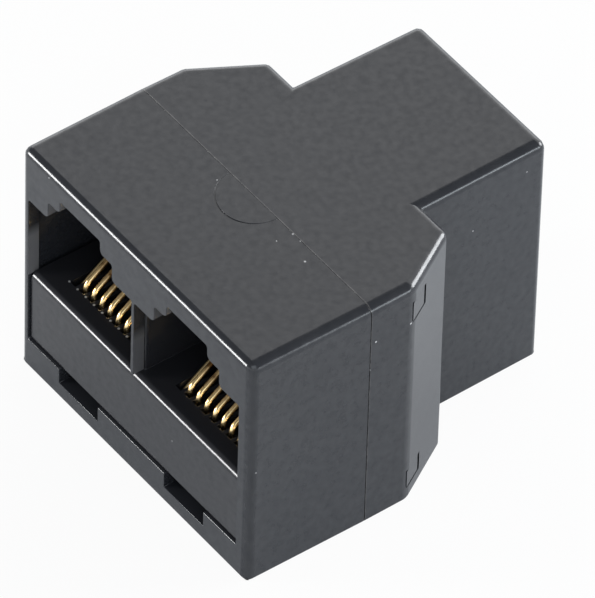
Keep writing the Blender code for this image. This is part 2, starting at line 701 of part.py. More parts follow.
def main():
    clear_scene()
    case = material("black moulded plastic", (0.030, 0.031, 0.034), 0.38)
    insert = material("black insert plastic", (0.026, 0.026, 0.028), 0.42)
    gold = material("gold-plated wire", (0.90, 0.62, 0.26), 0.24, 1.0)
    laminate = material("green circuit board", (0.02, 0.13, 0.06), 0.45)

    adapter = empty("adapter", (0, -DEPTH / 2, 0))
    front_mouth = empty("front_mouth", (FRONT_SHIFT, 0, 0), adapter)
    rear_mouth = empty("rear_mouth", (0, DEPTH, 0), adapter, math.pi)
    front_shell(adapter, case)
    rear_shell(adapter, case)
    front_centres = (-PORT_PITCH / 2, PORT_PITCH / 2)
    beside_arms = ARM_INNER - ARM_CLEARANCE - abs(FRONT_SHIFT)
    jack_block(
        "front_jack_block",
        front_centres,
        FRONT_OPENING_HALF,
        beside_arms,
        BLOCK_LENGTH,
        front_mouth,
        insert,
    )
    jack_block(
        "rear_jack_block",
        (0,),
        REAR_OPENING_HALF,
        beside_arms,
        REAR_BLOCK_LENGTH,
        rear_mouth,
        insert,
    )
    front_drops = tail_drops(0)
    rear_drops = tail_drops(REAR_TAIL_DROP)
    contacts("left_contact", front_centres[0], front_drops, BOARD_Y, front_mouth, gold)
    contacts("right_contact", front_centres[1], front_drops, BOARD_Y, front_mouth, gold)
    contacts("rear_contact", 0, rear_drops, REAR_BOARD_DISTANCE, rear_mouth, gold)
    front_places = []
    for centre in front_centres:
        front_places += wire_places(FRONT_SHIFT + centre)
    rear_places = [-x for x in wire_places(0)]
    rows = []
    for places, drops in ((front_places, front_drops), (rear_places, rear_drops)):
        for start in (0, 1):
            rows.append((WIRE_RUN_HEIGHT - drops[start], places[start::2]))
    circuit_board(rows, adapter, laminate)


main()
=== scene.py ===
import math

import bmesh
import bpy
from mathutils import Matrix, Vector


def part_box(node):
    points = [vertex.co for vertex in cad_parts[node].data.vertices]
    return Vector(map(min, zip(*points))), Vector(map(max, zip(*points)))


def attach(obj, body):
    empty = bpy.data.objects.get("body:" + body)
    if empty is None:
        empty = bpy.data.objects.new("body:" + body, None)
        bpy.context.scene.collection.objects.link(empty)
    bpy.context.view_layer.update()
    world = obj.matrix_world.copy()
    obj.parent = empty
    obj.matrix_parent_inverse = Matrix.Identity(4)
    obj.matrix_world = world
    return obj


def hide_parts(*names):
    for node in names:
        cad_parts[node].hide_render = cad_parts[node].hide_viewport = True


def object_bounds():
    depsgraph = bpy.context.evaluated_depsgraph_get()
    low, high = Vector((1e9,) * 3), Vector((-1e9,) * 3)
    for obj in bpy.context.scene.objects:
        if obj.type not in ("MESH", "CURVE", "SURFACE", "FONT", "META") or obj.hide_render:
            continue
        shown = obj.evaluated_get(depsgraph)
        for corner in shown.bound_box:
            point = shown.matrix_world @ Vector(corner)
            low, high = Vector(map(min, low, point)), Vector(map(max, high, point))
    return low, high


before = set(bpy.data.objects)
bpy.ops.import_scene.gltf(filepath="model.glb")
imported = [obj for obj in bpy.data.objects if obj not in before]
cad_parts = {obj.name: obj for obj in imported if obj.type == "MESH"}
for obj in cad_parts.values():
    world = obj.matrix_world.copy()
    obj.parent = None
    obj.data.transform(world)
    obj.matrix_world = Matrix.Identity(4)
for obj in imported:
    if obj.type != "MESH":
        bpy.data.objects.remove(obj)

# %% [markdown]
# # A black network splitter
# The object is a small T-shaped adapter: two plug sockets side by side in a wide front, and
# one in the narrow neck behind. Its case is two halves of moulded black plastic that snap
# together, black inserts carry the sockets, and gold-plated spring wires lie in them.
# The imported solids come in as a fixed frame. The cells below give them their real finish,
# break their edges as a mould does, and set up the camera and a soft studio light.

MM = 0.001
CAD_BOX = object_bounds()
FRONT_FACE, REAR_FACE = CAD_BOX[0][1], CAD_BOX[1][1]
TOP = CAD_BOX[1][2]
SEAM = FRONT_FACE + 10.5 * MM
SHOULDER = SEAM + 3.82 * MM


def in_mm(box):
    return [[round(v / MM, 2) for v in corner] for corner in box]


def add_object(name, data):
    made = bpy.data.objects.new(name, data)
    bpy.context.scene.collection.objects.link(made)
    return made


print("box of the solids, mm:", in_mm(CAD_BOX))

# %% [markdown]
# ## The camera
# The view is from the front right and well above, through a long lens, so upright edges stay
# nearly parallel. The angles, the distance and the lens were fitted to the edges of the case.
# A camera looks along its own -Z, so its Z axis points back from the object to the lens.

# %% The camera
AZIMUTH = math.radians(52.1313)
ELEVATION = math.radians(45.0117)
ROLL = math.radians(1.71)
LENS = 654.2876
DISTANCE = 782.36 * MM
AIM = Vector((1.426, -1.974, 10.7)) * MM


def camera_axes(azimuth, elevation, roll):
    back = Vector((
        math.sin(azimuth) * math.cos(elevation),
        -math.cos(azimuth) * math.cos(elevation),
        math.sin(elevation),
    ))
    level = Vector((math.cos(azimuth), math.sin(azimuth), 0))
    rise = back.cross(level)
    right = level * math.cos(roll) + rise * math.sin(roll)
    up = rise * math.cos(roll) - level * math.sin(roll)
    return right, up, back


right, up, back = camera_axes(AZIMUTH, ELEVATION, ROLL)
EYE = AIM + back * DISTANCE
camera = add_object("camera", bpy.data.cameras.new("camera"))
camera.data.lens = LENS
camera.matrix_world = Matrix.Translation(EYE) @ Matrix((right, up, back)).transposed().to_4x4()
bpy.context.scene.camera = camera
bpy.context.scene.view_settings.view_transform = 'Standard'
print("camera at", [round(v, 3) for v in camera.matrix_world.translation])

# %% [markdown]
# ## Node trees in code
# Every finish and every repeated piece below is a node tree. One helper adds a node and takes
# each of its inputs either as a plain value or as the output of an earlier node, so that a
# tree reads from top to bottom like a recipe. The others are the few steps that come back in
# every tree: a sum or a product, a noise, a value that follows another, a band, a blend.

# %% Helpers for node trees


def feed(tree, node, inputs):
    """Gives each input a plain value or the output of an earlier node."""
    for key, value in inputs.items():
        socket = node.inputs[key]
        if isinstance(value, bpy.types.NodeSocket):
            tree.links.new(value, socket)
        else:
            socket.default_value = value


def add_node(tree, kind, inputs, **settings):
    made = tree.nodes.new(kind)
    for name, value in settings.items():
        setattr(made, name, value)
    feed(tree, made, inputs)
    return made


def arithmetic(tree, operation, first, second, **settings):
    inputs = {0: first, 1: second}
    return add_node(tree, "ShaderNodeMath", inputs, operation=operation, **settings).outputs[0]


def ramp(tree, value, start, stop, first, last):
    """Goes from first to last while the value goes from start to stop, and stays level outside."""
    return add_node(tree, "ShaderNodeMapRange", {
        "Value": value,
        "From Min": start,
        "From Max": stop,
        "To Min": first,
        "To Max": last,
    }).outputs[0]


def between(tree, value, low, high):
    """1 where a value lies between two limits, else 0."""
    above = arithmetic(tree, 'GREATER_THAN', value, low)
    below = arithmetic(tree, 'LESS_THAN', value, high)
    return arithmetic(tree, 'MULTIPLY', above, below)


def noise(tree, place, scale, detail=2.0):
    """Noise with so many patches to the metre."""
    inputs = {"Vector": place, "Scale": scale, "Detail": detail}
    return add_node(tree, "ShaderNodeTexNoise", inputs).outputs["Fac"]


def bump(tree, height, depth, strength, under=None):
    """A relief whose depth is given in metres. It can lie on another one."""
    inputs = {"Strength": strength, "Distance": depth, "Height": height}
    if under:
        inputs["Normal"] = under
    return add_node(tree, "ShaderNodeBump", inputs).outputs[0]


def grain(tree, place, size, depth, strength, under=None):
    """A relief of noise whose grains have this size in metres."""
    return bump(tree, noise(tree, place, 1 / size), depth, strength, under)


def blend_colour(tree, factor, first, second):
    """Mixes two colours, each given as three values or as the output of an earlier node."""
    first, second = [(*c, 1) if isinstance(c, tuple) else c for c in (first, second)]
    # A Mix node's inputs for colours are 6 and 7, and its output for them is 2.
    inputs = {"Factor": factor, 6: first, 7: second}
    return add_node(tree, "ShaderNodeMix", inputs, data_type='RGBA').outputs[2]


def split(tree, vector):
    """The x, y and z of a vector."""
    return add_node(tree, "ShaderNodeSeparateXYZ", {0: vector}).outputs


# %% Helpers for finishes


def open_finish(finish):
    """A material's tree, its shader and the place on the piece."""
    tree = finish.node_tree
    place = add_node(tree, "ShaderNodeTexCoord", {}).outputs["Object"]
    return tree, tree.nodes["Principled BSDF"], place


def new_finish(name):
    made = bpy.data.materials.new(name)
    made.use_nodes = True
    return made, *open_finish(made)


# %% [markdown]
# ## The black case
# The case is injection-moulded ABS. Its mould was lightly sparked, so the skin has a grain of
# about a tenth of a millimetre, with a flatter waviness of half a millimetre under it where
# the plastic shrank. Handling left the gloss uneven. One noise at each scale does this.

# %% Case and insert plastic
CASE_BLACKS = ((0.019, 0.0205, 0.0245), (0.025, 0.0265, 0.0305))
INSERT_BLACKS = ((0.017, 0.0175, 0.0205), (0.023, 0.0235, 0.0265))
CASE_GRAIN, INSERT_GRAIN = 0.09 * MM, 0.07 * MM
DRIFT, MOTTLE = 260.0, 1700.0  # patches to the metre: 4 mm and 0.6 mm wide
ROUGHNESS, SPECULAR = (0.17, 0.23), (0.4, 0.6)
WAVES = (0.5 * MM, 0.002 * MM, 0.5)  # size, depth and strength
SKIN = (0.004 * MM, 0.6)  # depth and strength


def moulded_plastic(name, blacks, size):
    """Black plastic whose colour, roughness and reflection drift between two values."""
    made, tree, shader, place = new_finish(name)
    drift = noise(tree, place, DRIFT, 4.0)
    mottle = noise(tree, place, MOTTLE, 3.0)
    both = arithmetic(tree, 'ADD', drift, mottle)
    waves = grain(tree, place, *WAVES)
    feed(tree, shader, {
        "Base Color": blend_colour(tree, drift, *blacks),
        "Roughness": ramp(tree, both, 0.7, 1.3, *ROUGHNESS),
        "Specular IOR Level": ramp(tree, mottle, 0.3, 0.7, *SPECULAR),
        "Normal": grain(tree, place, size, *SKIN, under=waves),
    })
    print(name, "has", len(tree.nodes), "nodes")
    return made


case_finish = moulded_plastic("case plastic", CASE_BLACKS, CASE_GRAIN)
insert_finish = moulded_plastic("insert plastic", INSERT_BLACKS, INSERT_GRAIN)

# %% [markdown]
# ## Painted highlight at the seam and painted light in the openings
# A pale line painted where the halves meet is painted highlight on the seam's edges. A band
# one hair wide, broken up by a noise, takes it wherever the case crosses the plane of the seam.
# The sides of the sockets' openings that face right get painted light, near the sill and on
# the steps of the latch notch, and stay dark higher up, where the band's shadow falls. Limits
# on height, depth and the way a face looks pick out those sides that face right, as deep as
# the wall is thick, and a ramp makes them weaker toward the right.

# %% Painted seam highlight and painted light in the openings
SEAM_BAND = (SEAM - 0.045 * MM, SEAM + 0.075 * MM)
# The grey of the seam's painted highlight, and how much of it at most.
SEAM_HIGHLIGHT_GREY, MOST_SEAM_HIGHLIGHT = (0.16, 0.155, 0.15), 0.55
SEAM_HIGHLIGHT_BREAKS = 2500.0  # patches to the metre
# The grey of the painted light on the sides that face right.
PAINTED_LIGHT_GREY = (0.15, 0.15, 0.155)
FACING_RIGHT = (0.8, 1.01)  # x of a face's normal
WALL = (FRONT_FACE + 0.03 * MM, FRONT_FACE + 0.97 * MM)
OPENINGS_ACROSS = (-13.2 * MM, 12.4 * MM)
OPENINGS_UP = (9.3 * MM, 20.0 * MM)
# Heights over which the painted light ends, below the band's shadow.
PAINTED_LIGHT_ENDS_UP = (13.1 * MM, 14.2 * MM)
LATCH_STEPS = (17.0 * MM, 19.7 * MM)
PAINTED_LIGHT_FADES, PAINTED_LIGHT_REMAINING = (-12.0 * MM, -2.0 * MM), 0.6


def paint_over(tree, shader, mask, colour):
    """Lays a colour over a shader's own colour as far as the mask says."""
    under = shader.inputs["Base Color"].links[0].from_socket
    feed(tree, shader, {"Base Color": blend_colour(tree, mask, under, colour)})


def seam_painted_highlight(finish):
    """A painted highlight: a pale broken line that runs round the case at the seam."""
    tree, shader, place = open_finish(finish)
    band = between(tree, split(tree, place)[1], *SEAM_BAND)
    broken = ramp(tree, noise(tree, place, SEAM_HIGHLIGHT_BREAKS), 0.4, 0.65, 0.35, 1.0)
    mask = arithmetic(tree, 'MULTIPLY', band, broken)
    # Paints the seam's highlight into the colour.
    paint_over(tree, shader, arithmetic(tree, 'MULTIPLY', mask, MOST_SEAM_HIGHLIGHT), SEAM_HIGHLIGHT_GREY)


def painted_light_in_openings(finish):
    """Painted light on the sides of the openings, near the sill and on the steps of the latch
    notch.
    """
    tree, shader, place = open_finish(finish)
    across, depth, height = split(tree, place)
    normal = add_node(tree, "ShaderNodeTexCoord", {}).outputs["Normal"]
    # Painted light below these heights; higher up lies the band's shadow.
    low = ramp(tree, height, *PAINTED_LIGHT_ENDS_UP, 1.0, 0.0)
    mask = arithmetic(tree, 'MAXIMUM', low, between(tree, height, *LATCH_STEPS))
    for part in (
        between(tree, split(tree, normal)[0], *FACING_RIGHT),
        between(tree, depth, *WALL),
        between(tree, across, *OPENINGS_ACROSS),
        ramp(tree, across, *PAINTED_LIGHT_FADES, 1.0, PAINTED_LIGHT_REMAINING),
        between(tree, height, *OPENINGS_UP),
    ):
        mask = arithmetic(tree, 'MULTIPLY', mask, part)
    # Paints light on the sides that face right.
    paint_over(tree, shader, mask, PAINTED_LIGHT_GREY)


seam_painted_highlight(case_finish)
painted_light_in_openings(case_finish)
# The case's tree now holds the painted seam highlight and the painted light in the openings.
print("case plastic has", len(case_finish.node_tree.nodes), "nodes with dust and wear")

# %% [markdown]
# ## Gold plate and board
# The wires are phosphor bronze with a thin gold plating. It is plain gold at the bends and
# darkens to brown up the slope as painted shade. The colour follows height and a noise.
# The board inside is glass fibre with a green solder mask over its copper tracks, which show
# as a faint relief. Little of it is seen, and only from inside the sockets.

# %% Gold plate and solder mask
# Heights over which the arms are darkened to brown as painted shade.
PAINTED_SHADE_HEIGHTS = (10.3 * MM, 11.2 * MM)
GOLD, PAINTED_SHADE_BROWN = (1.0, 0.74, 0.37), (0.09, 0.042, 0.012)
GOLD_ROUGHNESS, STAINS = (0.22, 0.36), 1500.0
PLATING = (0.05 * MM, 0.003 * MM, 0.5)  # size, depth and strength
MASK_GREEN, TRACK_GREEN = (0.012, 0.075, 0.03), (0.02, 0.12, 0.045)
BOARD_ROUGHNESS, WEAVE = (0.25, 0.45), 3000.0
TRACKS, TRACK_HEIGHT = 400.0, 0.03 * MM

gold_finish, tree, shader, place = new_finish("gold plate")
# Painted shade: the wires turn brown up the slope, broken by a noise.
painted_shade = ramp(tree, split(tree, place)[2], *PAINTED_SHADE_HEIGHTS, 0.0, 1.0)
stain = ramp(tree, noise(tree, place, STAINS, 3.0), 0.35, 0.65, 0.7, 1.1)
painted_shade_and_stains = arithmetic(tree, 'MULTIPLY', painted_shade, stain, use_clamp=True)
feed(tree, shader, {
    "Base Color": blend_colour(tree, painted_shade_and_stains, GOLD, PAINTED_SHADE_BROWN),
    "Roughness": ramp(tree, painted_shade_and_stains, 0.0, 1.0, *GOLD_ROUGHNESS),
    "Normal": grain(tree, place, *PLATING),
    "Metallic": 1,
})

board_finish, tree, shader, place = new_finish("solder mask")
tracks = add_node(tree, "ShaderNodeTexBrick", {
    "Vector": place,
    "Scale": TRACKS,
    "Mortar Size": 0.04,
}).outputs["Fac"]
feed(tree, shader, {
    "Base Color": blend_colour(tree, tracks, MASK_GREEN, TRACK_GREEN),
    "Roughness": ramp(tree, noise(tree, place, WEAVE), 0.0, 1.0, *BOARD_ROUGHNESS),
    "Normal": bump(tree, tracks, TRACK_HEIGHT, 0.6),
})
print("finishes:", [made.name for made in (case_finish, insert_finish, gold_finish, board_finish)])

# %% [markdown]
# ## Broken edges
# No moulded edge is a knife edge: it catches the light in a line a few hundredths of a
# millimetre wide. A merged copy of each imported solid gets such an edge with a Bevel, and
# Weighted Normal keeps its large faces flat while the curves between them shade smoothly.
# Edge weights make the Bevel finer where two pieces meet closely, as they do at the seam.
# A weight can't be more than 1, so 1 stands for the boldest edge, twice the common one.

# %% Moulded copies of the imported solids
MERGE = 0.001 * MM
FLAT = math.radians(0.3)
SHARP = math.radians(32)
BOLDEST = 2.0


def mesh_from(name, bm):
    mesh = bpy.data.meshes.new(name)
    bm.to_mesh(mesh)
    bm.free()
    return mesh


def plain_mesh(obj):
    """Turns an object with modifiers into the mesh that they make."""
    graph = bpy.context.evaluated_depsgraph_get()
    mesh = bpy.data.meshes.new_from_object(
        obj.evaluated_get(graph), preserve_all_data_layers=True, depsgraph=graph
    )
    obj.modifiers.clear()
    obj.data = mesh
    mesh.name = obj.name


def show(piece, slot, *nodes):
    """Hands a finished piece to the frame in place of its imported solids."""
    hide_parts(*nodes)
    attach(piece, "root")
    piece.data.calc_loop_triangles()
    print(piece.name, "has", len(piece.data.loop_triangles), "triangles")


def moulded_copy(name, node, edge, finish, slot, fit=None, fineness=None, clamp=False):
    """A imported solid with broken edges. fit may move points first, fineness weighs each edge."""
    bm = bmesh.new()
    bm.from_mesh(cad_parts[node].data)
    bmesh.ops.remove_doubles(bm, verts=bm.verts, dist=MERGE)
    bmesh.ops.dissolve_limit(bm, angle_limit=FLAT, verts=bm.verts, edges=bm.edges)
    if fit:
        fit(bm)
    weights = bm.edges.layers.float.new("bevel_weight_edge")
    for one in bm.edges:
        if one.calc_face_angle(0.0) > SHARP:
            one[weights] = (fineness(one) if fineness else 1.0) / BOLDEST
    for face in bm.faces:
        face.smooth = True
    mesh = mesh_from(name, bm)
    mesh.materials.append(finish)
    piece = add_object(name, mesh)
    bevel = piece.modifiers.new("broken edge", 'BEVEL')
    bevel.width = edge * BOLDEST
    bevel.segments = 2
    bevel.limit_method = 'WEIGHT'
    bevel.use_clamp_overlap = clamp
    weighted = piece.modifiers.new("flat faces stay flat", 'WEIGHTED_NORMAL')
    weighted.weight = 100
    plain_mesh(piece)
    show(piece, slot, node)


# %% [markdown]
# ## The two halves of the case
# The halves press together, so on top the seam is hardly more than a hair, and the snap hooks
# lie against the front and top of their windows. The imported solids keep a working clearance
# there. Each copy closes most of it by moving the few points at that place. The lip comes
# close under the front panel in the same way, and the half-round groove on top gets so shallow
# that it is only a line, which fades toward its ends.

# %% The case halves
CASE_EDGE = 0.05 * MM
LIP_TOP, LIP_REACH, LIP_RISE = 2.7 * MM, 1.1 * MM, 0.1 * MM
HOOK_TOPS = (TOP - 1.76 * MM, 2.78 * MM)
HOOK_FRONT = SHOULDER + 0.06 * MM
HOOK_FORWARD, HOOK_OUTWARD, HOOK_UP = 0.066 * MM, 0.03 * MM, 0.055 * MM
WINDOWS = (11.5 * MM, 13.8 * MM)
NECK_SIDE = 8.5 * MM
REAR_HALF, REAR_HALF_FORWARD = SEAM + 0.035 * MM, 0.05 * MM
# The half-round groove: its packed floor and the room round it, then its reach, new depth
# and fades in millimetres, and the least share of that depth.
GROOVE_FLOOR = TOP - 0.12 * MM
GROOVE_ROOM = (3.5 * MM, 3.3 * MM)
GROOVE_REACH, GROOVE_DEPTH = 3.2, 0.06
GROOVE_FADE_LEFT, GROOVE_FADE_RIGHT = 1.8, 1.4
GROOVE_LEAST = 0.35
HAIRLINE, FINE = 0.2, 0.4
SLACK = 0.1 * MM


def near(value, place, reach=0.02 * MM):
    return abs(value - place) < reach


def fit_front(bm):
    """Raises the lip, closes the hooks' gaps and makes the half-round groove shallow."""
    for point in bm.verts:
        place = point.co
        if near(place.z, LIP_TOP, 0.03 * MM) and place.y < FRONT_FACE + LIP_REACH:
            place.z += LIP_RISE
        if abs(place.x) > WINDOWS[0] and near(place.y, HOOK_FRONT):
            place.y -= HOOK_FORWARD
            place.x += math.copysign(HOOK_OUTWARD, place.x)
        if abs(place.x) > WINDOWS[0] and place.y > SHOULDER - SLACK:
            if any(near(place.z, top) for top in HOOK_TOPS):
                place.z += HOOK_UP
        on_groove_floor = near(place.z, GROOVE_FLOOR) and place.y < SEAM + SLACK
        if on_groove_floor and abs(place.x) < GROOVE_REACH * MM:
            from_left = (place.x / MM + GROOVE_REACH) / GROOVE_FADE_LEFT
            from_right = (GROOVE_REACH - place.x / MM) / GROOVE_FADE_RIGHT
            share = max(GROOVE_LEAST, min(1.0, from_left, from_right))
            place.z = TOP - GROOVE_DEPTH * share * MM


def fit_rear(bm):
    """On top the rear half comes up to the front one."""
    for point in bm.verts:
        if near(point.co.y, REAR_HALF) and point.co.z > TOP - 0.3 * MM:
            point.co.y -= REAR_HALF_FORWARD


def case_fineness(one):
    """None where the hooks touch, fine at the groove, seam and windows, bold on the lip."""
    middle = (one.verts[0].co + one.verts[1].co) / 2
    across = abs(middle.x)
    if near(middle.y, FRONT_FACE) and near(middle.z, LIP_TOP + LIP_RISE):
        return BOLDEST
    if WINDOWS[0] < across < WINDOWS[1] and near(middle.y, SHOULDER, 0.07 * MM):
        return 0.0
    by_groove = middle.y > SEAM - GROOVE_ROOM[0] and across < GROOVE_ROOM[1]
    if middle.z > TOP - SLACK and by_groove:
        return HAIRLINE
    on_shoulder = across > NECK_SIDE and middle.y > SHOULDER - SLACK
    if near(middle.y, SEAM, SLACK) or on_shoulder:
        return FINE
    return 1.0


moulded_copy(
    "front_case_half", "front_shell", CASE_EDGE, case_finish, "case",
    fit_front, case_fineness,
)
moulded_copy(
    "rear_case_half", "rear_shell", CASE_EDGE, case_finish, "case",
    fit_rear, case_fineness, clamp=True,
)

# %% [markdown]
# ## The socket inserts
# Each insert is a plain black moulding with a rounded sill, a slotted floor for the wires and
# a comb behind. Only its sill, floor and front panel show, so it needs little but its edges.
# In the front one the divider between the sockets is made thinner than the case's web in
# front of it, so that it stays hidden behind it.

# %% The socket inserts
INSERT_EDGE = 0.06 * MM
DIVIDER, DIVIDER_HALF = -0.24 * MM, 0.45 * MM
DIVIDER_FOOT = 9.4 * MM
THINNED = 0.4


def fit_divider(bm):
    """Thins the divider between the sockets about its own middle."""
    for point in bm.verts:
        if abs(point.co.x - DIVIDER) < DIVIDER_HALF and point.co.z > DIVIDER_FOOT:
            point.co.x = DIVIDER + (point.co.x - DIVIDER) * THINNED


moulded_copy(
    "front_socket_insert", "front_jack_block", INSERT_EDGE, insert_finish, "insert",
    fit_divider,
)
moulded_copy("rear_socket_insert", "rear_jack_block", INSERT_EDGE, insert_finish, "insert")

# %% [markdown]
# ## Spring wires
# Eight round gold-plated wires lie side by side in each socket. Each one starts free inside
# the comb, slopes down to a tight bend at the front end of its slot, drops through the slot
# and runs back under the floor to the board, where neighbours end in two rows.
# So a socket's wires are one pair, repeated. In the front sockets the first wire lies low in
# its slot, so there the pair repeats three times, between a low first wire and the eighth.
# Geometry Nodes sweep a circle along the paths and repeat them along the row.

# %% A wire's path
# Depths are measured back from the socket's face, heights up from under the adapter.
WIRE = 0.46 * MM
PITCH = 1.0 * MM
RUN_HEIGHT = 7.49 * MM
BEND_DEPTH = 3.3 * MM
LOWER_BEND = 0.55 * MM
UPPER_BEND = 0.9 * MM
HIGH, LOW = 9.55 * MM, 8.1 * MM
RISE = math.radians(36)
ARM = 8.0 * MM
JOG = (8.6 * MM, 10.6 * MM)
ROW_SPACING = 1.663 * MM
FRONT_TAIL, REAR_TAIL = 16.07 * MM, 16.98 * MM
STEPS = 12


def arc(depth, height, radius, start, end):
    angles = [math.radians(start + (end - start) * step / STEPS) for step in range(STEPS + 1)]
    return [(depth + radius * math.cos(a), height + radius * math.sin(a)) for a in angles]


def wire_path(bend_height, drop, end):
    """Depth and height of the arm, the two bends, the run under the floor and the dropped tail."""
    bend = arc(BEND_DEPTH, bend_height, UPPER_BEND, 90 + math.degrees(RISE), 180)
    tip = (bend[0][0] + ARM * math.cos(RISE), bend[0][1] + ARM * math.sin(RISE))
    foot_depth = BEND_DEPTH - UPPER_BEND + LOWER_BEND
    foot = arc(foot_depth, RUN_HEIGHT + LOWER_BEND, LOWER_BEND, 180, 270)
    slope = []
    for step in range(STEPS + 1):
        share = step / STEPS
        depth = JOG[0] + (JOG[1] - JOG[0]) * share
        slope.append((depth, RUN_HEIGHT - drop * (3 * share ** 2 - 2 * share ** 3)))
    return [tip, *bend, *foot, *slope, (end, RUN_HEIGHT - drop)]


def loose_paths(name, toward, face, paths):
    """Paths as loose edges, each with its own x. toward is +1 where depth grows with y."""
    bm = bmesh.new()
    for x, points in paths:
        before = None
        for depth, height in points:
            point = bm.verts.new((x, face + toward * depth, height))
            if before:
                bm.edges.new((before, point))
            before = point
    return add_object(name, mesh_from(name, bm))


path = wire_path(HIGH, 0, FRONT_TAIL)
length = sum(math.dist(one, other) for one, other in zip(path, path[1:]))
print("a wire is", round(length / MM, 1), "mm long")

# %% A tree that sweeps and repeats the paths
AROUND = 16


def new_tree(name, inputs):
    tree = bpy.data.node_groups.new(name, 'GeometryNodeTree')
    tree.interface.new_socket("Geometry", in_out='INPUT', socket_type='NodeSocketGeometry')
    for label, kind in inputs:
        tree.interface.new_socket(label, in_out='INPUT', socket_type=kind)
    tree.interface.new_socket("Geometry", in_out='OUTPUT', socket_type='NodeSocketGeometry')
    return tree, tree.nodes.new("NodeGroupInput").outputs, tree.nodes.new("NodeGroupOutput")


def swept_row():
    """Sweeps a circle along an object's edges and repeats the result at every second place."""
    tree, given, result = new_tree("row of spring wires", (
        ("Wire Diameter", 'NodeSocketFloat'),
        ("Pitch", 'NodeSocketFloat'),
        ("Times", 'NodeSocketInt'),
        ("Finish", 'NodeSocketMaterial'),
    ))

    def step(kind, inputs):
        return add_node(tree, kind, inputs).outputs[0]

    radius = arithmetic(tree, 'MULTIPLY', given["Wire Diameter"], 0.5)
    section = step("GeometryNodeCurvePrimitiveCircle", {"Resolution": AROUND, "Radius": radius})
    paths = step("GeometryNodeMeshToCurve", {"Mesh": given["Geometry"]})
    pair = step("GeometryNodeCurveToMesh", {
        "Curve": paths,
        "Profile Curve": section,
        "Fill Caps": True,
    })
    smooth = step("GeometryNodeSetShadeSmooth", {"Geometry": pair, "Shade Smooth": True})
    stride = arithmetic(tree, 'MULTIPLY', given["Pitch"], 2.0)
    offset = step("ShaderNodeCombineXYZ", {"X": stride})
    places = step("GeometryNodeMeshLine", {"Count": given["Times"], "Offset": offset})
    row = step("GeometryNodeInstanceOnPoints", {"Points": places, "Instance": smooth})
    solid = step("GeometryNodeRealizeInstances", {"Geometry": row})
    coated = step("GeometryNodeSetMaterial", {"Geometry": solid, "Material": given["Finish"]})
    feed(tree, result, {"Geometry": coated})
    return tree


wire_row = swept_row()
print(wire_row.name, "has", len(wire_row.nodes), "nodes")


def run_tree(obj, tree, values):
    """Puts a tree on an object, sets its inputs by name and keeps the mesh that it makes."""
    modifier = obj.modifiers.new(tree.name, 'NODES')
    modifier.node_group = tree
    for item in tree.interface.items_tree:
        if item.in_out == 'INPUT' and item.name in values:
            modifier[item.identifier] = values[item.name]
    plain_mesh(obj)


# %% The three rows of wires
LEFT_SHIFT, RIGHT_SHIFT = 0.06 * MM, -0.08 * MM


def wire_row_of(port, pitch, toward, face, drops, end, low_first, sideways=0.0):
    """All eight wires of a socket. The drops are those of a pair's two tails.

    Where low_first says so, the first wire lies low in its slot.
    """
    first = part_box(f"{port}_contact_1")
    left = (first[0][0] + first[1][0]) / 2 + sideways
    high = [wire_path(HIGH, drop, end) for drop in drops]
    if low_first:
        low = wire_path(LOW, drops[0], end)
        groups = [
            ([(left + pitch, high[1]), (left + 2 * pitch, high[0])], 3),
            ([(left, low), (left + 7 * pitch, high[1])], 1),
        ]
    else:
        groups = [([(left, high[0]), (left + pitch, high[1])], 4)]
    name = f"{port}_wires"
    bm = bmesh.new()
    for group, times in groups:
        wires = loose_paths(name, toward, face, group)
        run_tree(wires, wire_row, {
            "Wire Diameter": WIRE,
            "Pitch": pitch,
            "Times": times,
            "Finish": gold_finish,
        })
        bm.from_mesh(wires.data)
        bpy.data.objects.remove(wires)
    bmesh.ops.recalc_face_normals(bm, faces=bm.faces)
    # Realized copies keep an empty first slot, and the joined row has only the gold one.
    for part in bm.faces:
        part.material_index = 0
    mesh = mesh_from(name, bm)
    mesh.materials.append(gold_finish)
    nodes = [f"{port}_contact_{index}" for index in range(1, 9)]
    show(add_object(name, mesh), "contact", *nodes)


front_drops = (0, ROW_SPACING)
rear_drops = (2 * ROW_SPACING, 3 * ROW_SPACING)
wire_row_of("left", PITCH, 1, FRONT_FACE, front_drops, FRONT_TAIL, True, LEFT_SHIFT)
wire_row_of("right", PITCH, 1, FRONT_FACE, front_drops, FRONT_TAIL, True, RIGHT_SHIFT)
wire_row_of("rear", -PITCH, -1, REAR_FACE, rear_drops, REAR_TAIL, False)

# %% [markdown]
# ## The board
# The wires' tails end in the board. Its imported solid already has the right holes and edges,
# so it stays and only takes the solder mask.

# %% The board
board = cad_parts["circuit_board"]
board.data.materials.clear()
board.data.materials.append(board_finish)
print("the board takes", board_finish.name)

# %% [markdown]
# ## Specks of dust and painted glints
# A few pale specks of dust lie on the case and one on the front panel, and a row of painted
# glints, painted highlight, lies at the front ends of the left wire slots. Each is a small
# round patch in the finish. Rays from the camera find the places on the surface, so that a
# speck lies on the plastic and not beside it.

# %% Specks of dust and painted glints
FRAME = (595, 598)
SENSOR = 36.0
BRIGHT_SPECKS = ((305, 261.5), (293, 234), (411, 323.5), (376, 342))
FAINT_SPECKS = (
    (300.5, 241), (276.5, 241), (217, 180), (370, 370),
    (527, 172), (473, 231), (49, 178), (256, 473),
)
# Painted highlight: glints at the front ends of the left wire slots.
SLOT_PAINTED_GLINTS = [(69.5 + 8.2 * index, 281.5 + 7.85 * index) for index in range(8)]
PANEL_SPECKS = ((172, 441),)
DUST_AND_GLINT_GREY = (0.5, 0.5, 0.5)
SPECK_CORE = 0.5


